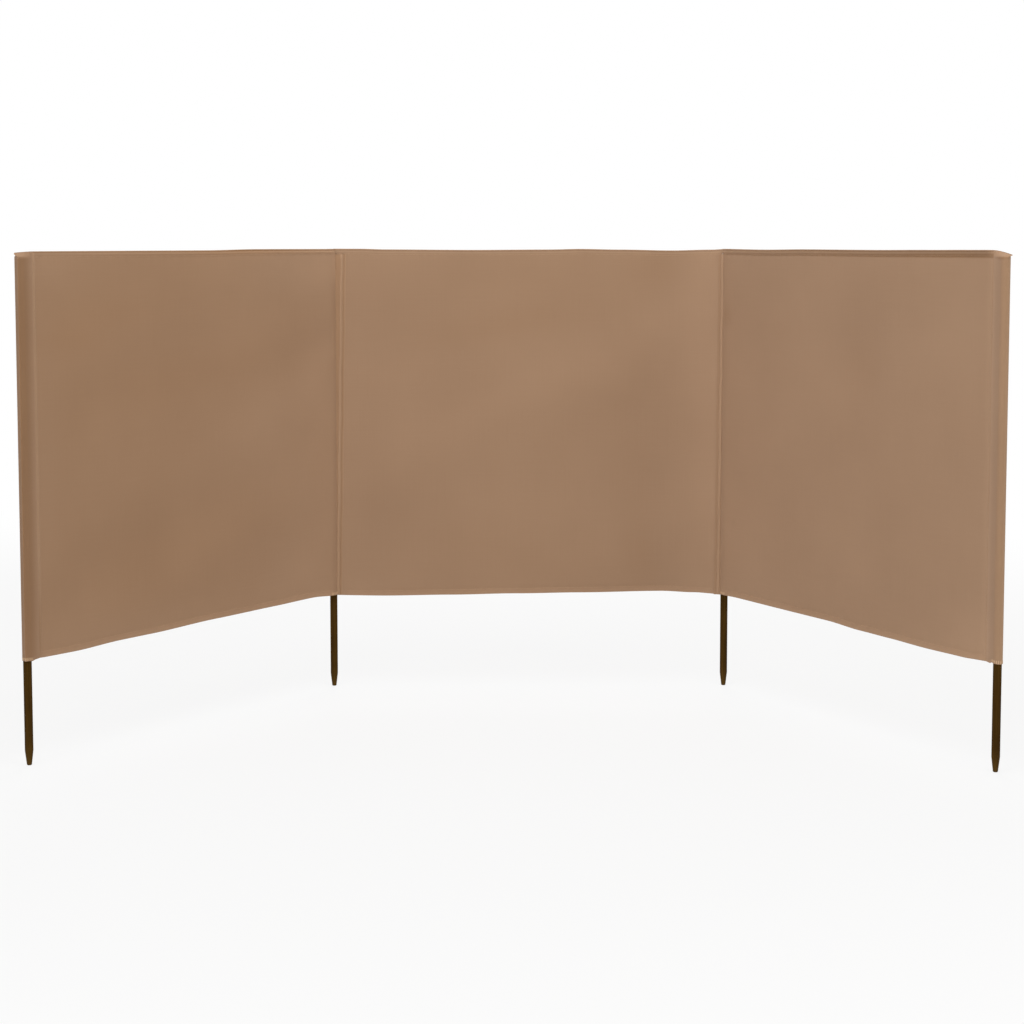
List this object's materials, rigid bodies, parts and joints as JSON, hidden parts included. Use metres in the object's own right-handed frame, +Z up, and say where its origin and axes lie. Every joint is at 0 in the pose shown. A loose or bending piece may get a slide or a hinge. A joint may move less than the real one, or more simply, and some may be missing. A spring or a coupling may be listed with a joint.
{
  "type": "beach windbreak",
  "caption": "Cloth windbreak on round ground poles with tapered tips, held in sewn pockets; its outer bays swing and fold about the inner poles.",
  "frame": {"origin": "centre of the blunt foot of the left inner pole", "axes": "+X along the centre bay to the right inner pole, +Y to the back of the screen, +Z up"},
  "size_m": [2.8669, 1.2145, 1.515],
  "materials": {
    "cloth": "plain-woven taupe polyester",
    "hem": "the same cloth, folded and stitched",
    "pole": "dark-brown stain, satin"
  },
  "bodies": {
    "centre_bay": {"left_inner_pole": "pole", "right_inner_pole": "pole", "left_inner_sleeve": "cloth", "right_inner_sleeve": "cloth", "left_inner_pocket_top": "cloth", "right_inner_pocket_top": "cloth", "centre_panel": "cloth", "centre_top_hem": "hem", "centre_bottom_hem": "hem", "left_inner_seam": "hem", "right_inner_seam": "hem"},
    "left_bay": {"left_end_pole": "pole", "left_end_sleeve": "cloth", "left_end_pocket_top": "cloth", "left_panel": "cloth", "left_top_hem": "hem", "left_bottom_hem": "hem", "left_end_seam": "hem"},
    "right_bay": {"right_end_pole": "pole", "right_end_sleeve": "cloth", "right_end_pocket_top": "cloth", "right_panel": "cloth", "right_top_hem": "hem", "right_bottom_hem": "hem", "right_end_seam": "hem"}
  },
  "joints": [
    {"name": "left_bay_swing", "type": "hinge", "parent": "centre_bay", "child": "left_bay", "pos_m": [0, 0, 0], "axis": [0, 0, 1], "range_deg": [-133, 121]},
    {"name": "right_bay_swing", "type": "hinge", "parent": "centre_bay", "child": "right_bay", "pos_m": [1.355, 0, 0], "axis": [0, 0, 1], "range_deg": [-19.5, 234.5]}
  ]
}
